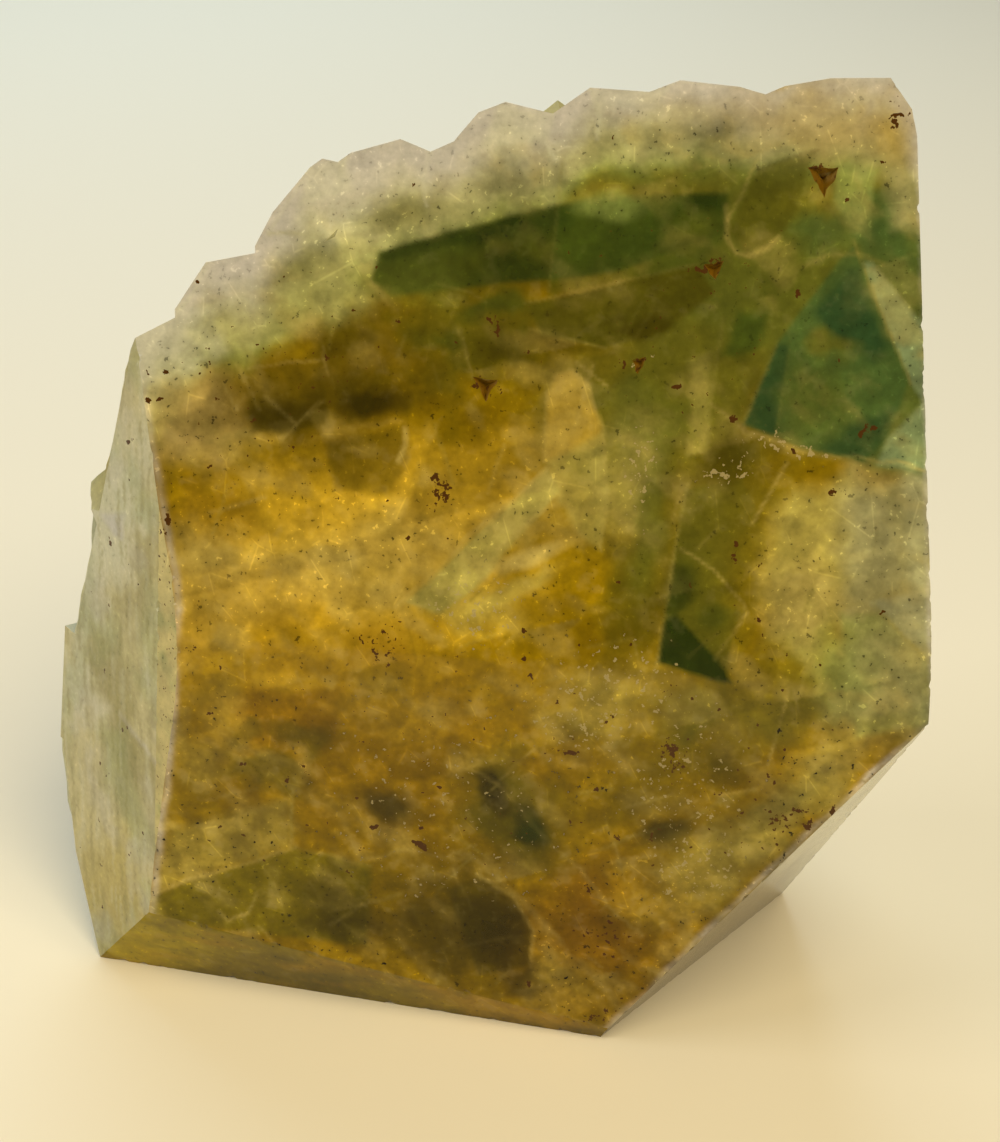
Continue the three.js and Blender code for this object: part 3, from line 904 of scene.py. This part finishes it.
def paint_front(points):
    paint = Paint(points, "moss", 1)
    paint.put(MIDDLE + LOWER_LEFT + LOWER_MIDDLE + RIGHT_MIDDLE)
    crust = rim_bands(paint)
    paint.put(UPPER_LEFT + UPPER_RIGHT + DARK_PANE + GROUND_EDGES)
    paint.shards(LARGE_BLOCK, seed=5, strength=0.6)
    paint.wisps("olive", 5 * MM, LARGE_BLOCK, seed=12, share=0.25)
    fine_cracks(paint)
    paint.shards(SMALL_BLOCK, seed=6, strength=0.6)
    paint.shards(SPLINTER, seed=9, strength=0.5)
    paint.wisps("straw", 4 * MM, LARGE_BLOCK, seed=11, share=0.3)
    paint.mottle(4 * MM, 5, seed=21, strength=0.2)
    paint.lay("crust", crust)
    paint.put(CRUST_TINTS)
    lower = smoothstep(*FINE_HEIGHTS, paint.place[:, 1])
    paint.marks["veil"] = paint.brightness(0.5) * (FINE_STRENGTH + FINE_GAIN * lower) - CRUST_CALM * crust
    paint.mottle(1.2 * MM, 3, seed=22, strength=0.12)
    paint.put(Mark("rust", *patch) for patch in RUST_PATCHES)
    paint.put(Mark("grit", *patch) for patch in GRIT_PATCHES)
    paint.put(Mark("rust", *spot, share=SPOT_SHARE) for spot in DARK_SPOTS)
    for specks in SPECKS:
        paint.sprinkle(*specks)
    return paint


# The left facet's pale bone and milk are partly its own colour and partly a painted reflection of the pale
# surroundings.
def paint_left(points):
    paint = Paint(points, "bone", 31, veil=0.3)
    streaks = noise_field(points @ LEFT_GRAIN, 0.9 * MM, 4, 33)
    paint.put(LEFT_SHADES)
    paint.haze("lichen", 9 * MM, seed=37, share=0.4, low=-0.2, high=0.6)
    paint.lay("clay", 0.45 * smoothstep(0.1, 0.55, streaks))
    paint.lay("milk", 0.25 * smoothstep(0.1, 0.6, -streaks))
    paint.haze("crust", 8 * MM, seed=35, share=0.25)
    paint.mottle(6 * MM, 3, seed=34, strength=0.1)
    paint.sprinkle(*LEFT_SPECKS)
    return paint


def paint_bevel(points):
    paint = Paint(points, "bevel", 38, rust=0.3)
    paint.haze("lichen", 3 * MM, seed=39, share=0.5)
    return paint


def paint_chamfer(points):
    paint = Paint(points, "yellow_green", 41)
    paint.put(CHAMFER_SHADES)
    streaks = noise_field(points * CHAMFER_GRAIN, 2.0 * MM, 3, 43)
    paint.lay("dark_olive", 0.4 * smoothstep(0.1, 0.8, streaks))
    paint.lay("wet_gold", 0.5 * smoothstep(0.1, 0.8, -streaks))
    paint.mottle(4 * MM, 3, seed=44, strength=0.15)
    return paint


def paint_side(points):
    paint = Paint(points, "khaki", 51)
    paint.haze("pale_teal", 18 * MM, seed=52, share=0.7, low=-0.3, high=0.5)
    paint.haze("teal", 16 * MM, seed=53, share=0.5, low=0.0, high=0.8)
    paint.shards(LARGE_BLOCK, seed=7, strength=0.6)
    paint.shards(SMALL_BLOCK, seed=8, strength=0.4)
    paint.wisps("milk", 6 * MM, LARGE_BLOCK, seed=54, share=0.2)
    paint.mottle(4 * MM, 4, seed=55, strength=0.12)
    return paint


def paint_underside(points):
    paint = Paint(points, "bone", 56)
    height = paint.place[:, 1] + UNDERSIDE_WANDER * paint.wander[:, 0]
    paint.lay("bronze", smoothstep(*UNDERSIDE_TURN, height))
    streaks = noise_field(points @ UNDERSIDE_GRAIN, 1.5 * MM, 3, 57)
    paint.lay("dark_moss", 0.4 * smoothstep(0.1, 0.8, streaks))
    paint.lay("tan", 0.4 * smoothstep(0.1, 0.8, -streaks))
    paint.mottle(5 * MM, 3, seed=58, strength=0.2)
    return paint


def paint_skin(points):
    paint = Paint(points, "mint", 61, polish=0.0, veil=0.4)
    paint.haze("milk", 14 * MM, seed=62, share=0.7, low=-0.4, high=0.5)
    paint.haze("straw", 10 * MM, seed=63, share=0.35)
    paint.haze("pale_green", 9 * MM, seed=65, share=0.35, low=0.0, high=0.8)
    paint.mottle(4 * MM, 4, seed=64, strength=0.12)
    paint.marks["rust"] = 0.4 * smoothstep(0.4, 0.9, noise_field(points, 7 * MM, 4, 66))
    return paint


def paint_pit(points):
    paint = Paint(points, "russet", 71, rust=0.6, polish=0.3)
    paint.haze("tan", 1.5 * MM, seed=72, share=0.7)
    return paint


PAINTERS = {
    "front": paint_front, "left": paint_left, "bevel": paint_bevel, "chamfer": paint_chamfer,
    "base": paint_chamfer, "right": paint_side, "underside": paint_underside, "skin": paint_skin,
    "pit": paint_pit,
}


def paint_stone(mesh, points, triangles, facets):
    """Writes the paints to the corners, so that colours change sharply at the stone's edges."""
    tint = np.ones((len(triangles), 3, 4))
    marks = np.zeros((len(triangles), 3, 4))
    veil = 0.5 + VEIL_SPREAD * noise_field(points, VEIL_SIZE, 4, VEIL_SEED, VEIL_FALL)
    tint[:, :, 3] = veil[triangles]
    for name in np.unique(facets):
        here = facets == name
        used, corner = np.unique(triangles[here], return_inverse=True)
        paint = PAINTERS[name](points[used])
        corner = corner.reshape(-1, 3)
        tint[here, :, :3] = np.clip(paint.colour, 0.0, LIGHTEST)[corner]
        marks[here] = np.column_stack([paint.marks[kind] for kind in MARK_START])[corner]
    for name, values in (("tint", tint), ("marks", marks)):
        layer = mesh.attributes.new(name, "FLOAT_COLOR", "CORNER")
        layer.data.foreach_set("color", values.ravel())


def build_stone(node):
    points, triangles, facets = fine_mesh(node.data)
    points = wear(points, triangles, facets)
    mesh = bpy.data.meshes.new("fluorite_stone")
    mesh.from_pydata(points, [], triangles)
    paint_stone(mesh, points, triangles, facets)
    mesh.shade_smooth()
    mesh.set_sharp_from_angle(angle=SHARP_ANGLE)
    stone = bpy.data.objects.new("fluorite_stone", mesh)
    bpy.context.scene.collection.objects.link(stone)
    return stone


# Materials.

class Nodes:
    """A short way to add and link shader nodes."""

    def __init__(self, material):
        material.use_nodes = True
        self.tree = material.node_tree

    def set(self, socket, value):
        if isinstance(value, bpy.types.NodeSocket):
            self.tree.links.new(value, socket)
        else:
            socket.default_value = value

    def add(self, kind, inputs=(), **settings):
        node = self.tree.nodes.new(kind)
        for name, value in settings.items():
            setattr(node, name, value)
        for name, value in dict(inputs).items():
            self.set(node.inputs[name], value)
        return node

    def math(self, operation, first, second=0.0):
        return self.add("ShaderNodeMath", {0: first, 1: second}, operation=operation).outputs[0]

    def ramp(self, value, low, high, to_low=0.0, to_high=1.0):
        limits = {0: value, 1: low, 2: high, 3: to_low, 4: to_high}
        return self.add("ShaderNodeMapRange", limits, interpolation_type="SMOOTHSTEP").outputs[0]

    def mix(self, share, first, second):
        return self.add("ShaderNodeMix", {0: share, 6: first, 7: second}, data_type="RGBA").outputs[2]


def hairline_cracks(nodes, place, veil):
    """A net of thin light lines, shown where the veil is thick."""
    turn = NET_WAY.rotation_difference(Vector((0.0, 0.0, 1.0))).to_euler()
    flat = nodes.add("ShaderNodeMapping", {"Vector": place, "Rotation": turn}).outputs[0]
    plane = {"Vector": flat, "Rotation": NET_TURN, "Scale": NET_STRETCH}
    laid = nodes.add("ShaderNodeMapping", plane).outputs[0]
    net = nodes.add("ShaderNodeTexVoronoi", {"Vector": laid, **NET},
                    feature="DISTANCE_TO_EDGE", voronoi_dimensions="2D")
    lines = nodes.ramp(net.outputs["Distance"], 0.0, NET_WIDTH, NET_STRENGTH, 0.0)
    return nodes.math("MULTIPLY", lines, nodes.ramp(veil, *NET_VEIL))


def fine_brightness(nodes, grain, veil, veiled, cracks):
    """What the fine patterns, painted glints among them, multiply the paint by; veiled is how strong they
    are.
    """
    flecks_and_glints = nodes.math("ADD", nodes.ramp(grain, *PALE_GRAINS_AND_GLINTS), nodes.ramp(grain, *DARK_FLECKS))
    fine = nodes.math("ADD", nodes.ramp(veil, *VEIL_BRIGHTNESS), nodes.math("ADD", cracks, flecks_and_glints))
    return nodes.math("ADD", nodes.ramp(grain, *GRAIN_BRIGHTNESS), nodes.math("MULTIPLY", veiled, fine))


def cover(nodes, colour, height, dirt, dirt_colour, share=1.0):
    """Dirt on the grains with a height above 0, where there is any."""
    grains = nodes.ramp(height, 0.0, DIRT_EDGE, 0.0, share)
    return nodes.mix(nodes.math("MULTIPLY", grains, nodes.ramp(dirt, *FIRST_DIRT)), colour, dirt_colour)


def with_dirt(nodes, colour, grain, rust, grit):
    """Rust on the light grains and pale grit on the dark ones, the more the thicker they lie."""
    edge = nodes.math("SUBTRACT", RUST_LEVEL, nodes.math("MULTIPLY", rust, RUST_SPREAD))
    colour = cover(nodes, colour, nodes.math("SUBTRACT", grain, edge), rust, RUST)
    edge = nodes.math("ADD", GRIT_LEVEL, nodes.math("MULTIPLY", grit, GRIT_SPREAD))
    return cover(nodes, colour, nodes.math("SUBTRACT", edge, grain), grit, GRIT, GRIT_SHARE)


def stone_material():
    material = bpy.data.materials.new("fluorite")
    nodes = Nodes(material)
    shader = material.node_tree.nodes["Principled BSDF"]
    place = nodes.add("ShaderNodeTexCoord").outputs["Object"]
    paint = nodes.add("ShaderNodeAttribute", attribute_name="tint")
    tint, veil = paint.outputs["Color"], paint.outputs["Alpha"]
    marks = nodes.add("ShaderNodeAttribute", attribute_name="marks")
    veiled = marks.outputs["Alpha"]
    rust, polish, grit = nodes.add("ShaderNodeSeparateColor", {0: marks.outputs["Color"]}).outputs
    grain = nodes.add("ShaderNodeTexNoise", {"Vector": place, **GRAIN}).outputs["Fac"]

    glint = fine_brightness(nodes, grain, veil, veiled, hairline_cracks(nodes, place, veil))
    colour = nodes.add("ShaderNodeVectorMath", {0: tint, "Scale": glint}, operation="SCALE").outputs[0]
    pale = nodes.math("MULTIPLY", veiled, nodes.ramp(veil, *VEIL_PALENESS))
    colour = with_dirt(nodes, nodes.mix(pale, colour, VEIL_COLOUR), grain, rust, grit)
    dull = nodes.ramp(polish, 0.0, 1.0, *ROUGHNESS)
    roughness = nodes.math("ADD", dull, nodes.math("MULTIPLY", grain, GRAIN_ROUGHNESS))

    nodes.set(shader.inputs["Base Color"], colour)
    nodes.set(shader.inputs["Roughness"], roughness)
    nodes.set(shader.inputs["IOR"], FLUORITE_IOR)
    nodes.set(shader.inputs["Specular IOR Level"], SPECULAR_LEVEL)
    nodes.set(shader.inputs["Transmission Weight"], TRANSMISSION)
    absorb = nodes.add("ShaderNodeVolumeAbsorption", ABSORPTION)
    nodes.set(material.node_tree.nodes["Material Output"].inputs["Volume"], absorb.outputs[0])
    return material


# The studio.

def area_light(name, place, aim, size, power, colour):
    lamp = bpy.data.lights.new(name, "AREA")
    lamp.size = size
    lamp.energy = power
    lamp.color = colour
    holder = bpy.data.objects.new(name, lamp)
    holder.location = place
    holder.rotation_euler = (Vector(aim) - Vector(place)).to_track_quat("-Z", "Y").to_euler()
    bpy.context.scene.collection.objects.link(holder)


def pale_floor():
    bpy.ops.mesh.primitive_plane_add(size=FLOOR_SIZE)
    floor = bpy.context.object
    floor.name = "floor"
    material = bpy.data.materials.new("floor")
    material.use_nodes = True
    paper = material.node_tree.nodes["Principled BSDF"]
    paper.inputs["Base Color"].default_value = FLOOR_COLOUR
    paper.inputs["Roughness"].default_value = FLOOR_ROUGHNESS
    floor.data.materials.append(material)


def studio():
    pale_floor()
    area_light("back_light", place=(-0.15, 0.6, 0.5), aim=(0, 0.1, 0),
               size=0.6, power=3.0, colour=(0.66, 0.84, 1.0))
    area_light("top_light", place=(0.25, -0.4, 0.7), aim=(0, 0, 0.05),
               size=0.5, power=6.0, colour=(1.0, 0.84, 0.54))
    area_light("left_light", place=(-0.75, -0.1, 0.35), aim=(0, 0, 0.05),
               size=0.4, power=2.6, colour=(1.0, 0.95, 0.85))
    world = bpy.data.worlds.new("studio")
    world.use_nodes = True
    sky = world.node_tree.nodes["Background"]
    sky.inputs["Color"].default_value = SKY_COLOUR
    sky.inputs["Strength"].default_value = SKY_STRENGTH
    scene = bpy.context.scene
    scene.world = world
    scene.view_settings.view_transform = "Standard"


def photo_camera():
    camera = bpy.data.cameras.new("camera")
    camera.sensor_fit = "VERTICAL"
    camera.sensor_height = SENSOR
    camera.lens = FOCAL_PIXELS * SENSOR / PHOTO_HIGH
    holder = bpy.data.objects.new("camera", camera)
    holder.location = CAMERA_PLACE
    holder.rotation_euler = (math.pi / 2 - CAMERA_DOWN, 0.0, 0.0)
    bpy.context.scene.collection.objects.link(holder)
    bpy.context.scene.camera = holder


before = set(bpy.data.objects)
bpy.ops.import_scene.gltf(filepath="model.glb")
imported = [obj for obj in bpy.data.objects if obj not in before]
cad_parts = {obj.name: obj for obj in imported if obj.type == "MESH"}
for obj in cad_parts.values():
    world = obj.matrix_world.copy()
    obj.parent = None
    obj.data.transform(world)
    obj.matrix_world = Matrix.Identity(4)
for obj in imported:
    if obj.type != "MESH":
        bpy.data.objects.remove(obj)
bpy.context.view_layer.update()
stone = build_stone(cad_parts["fluorite"])
stone.data.materials.append(stone_material())
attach(stone, "root")
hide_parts("fluorite")
studio()
photo_camera()
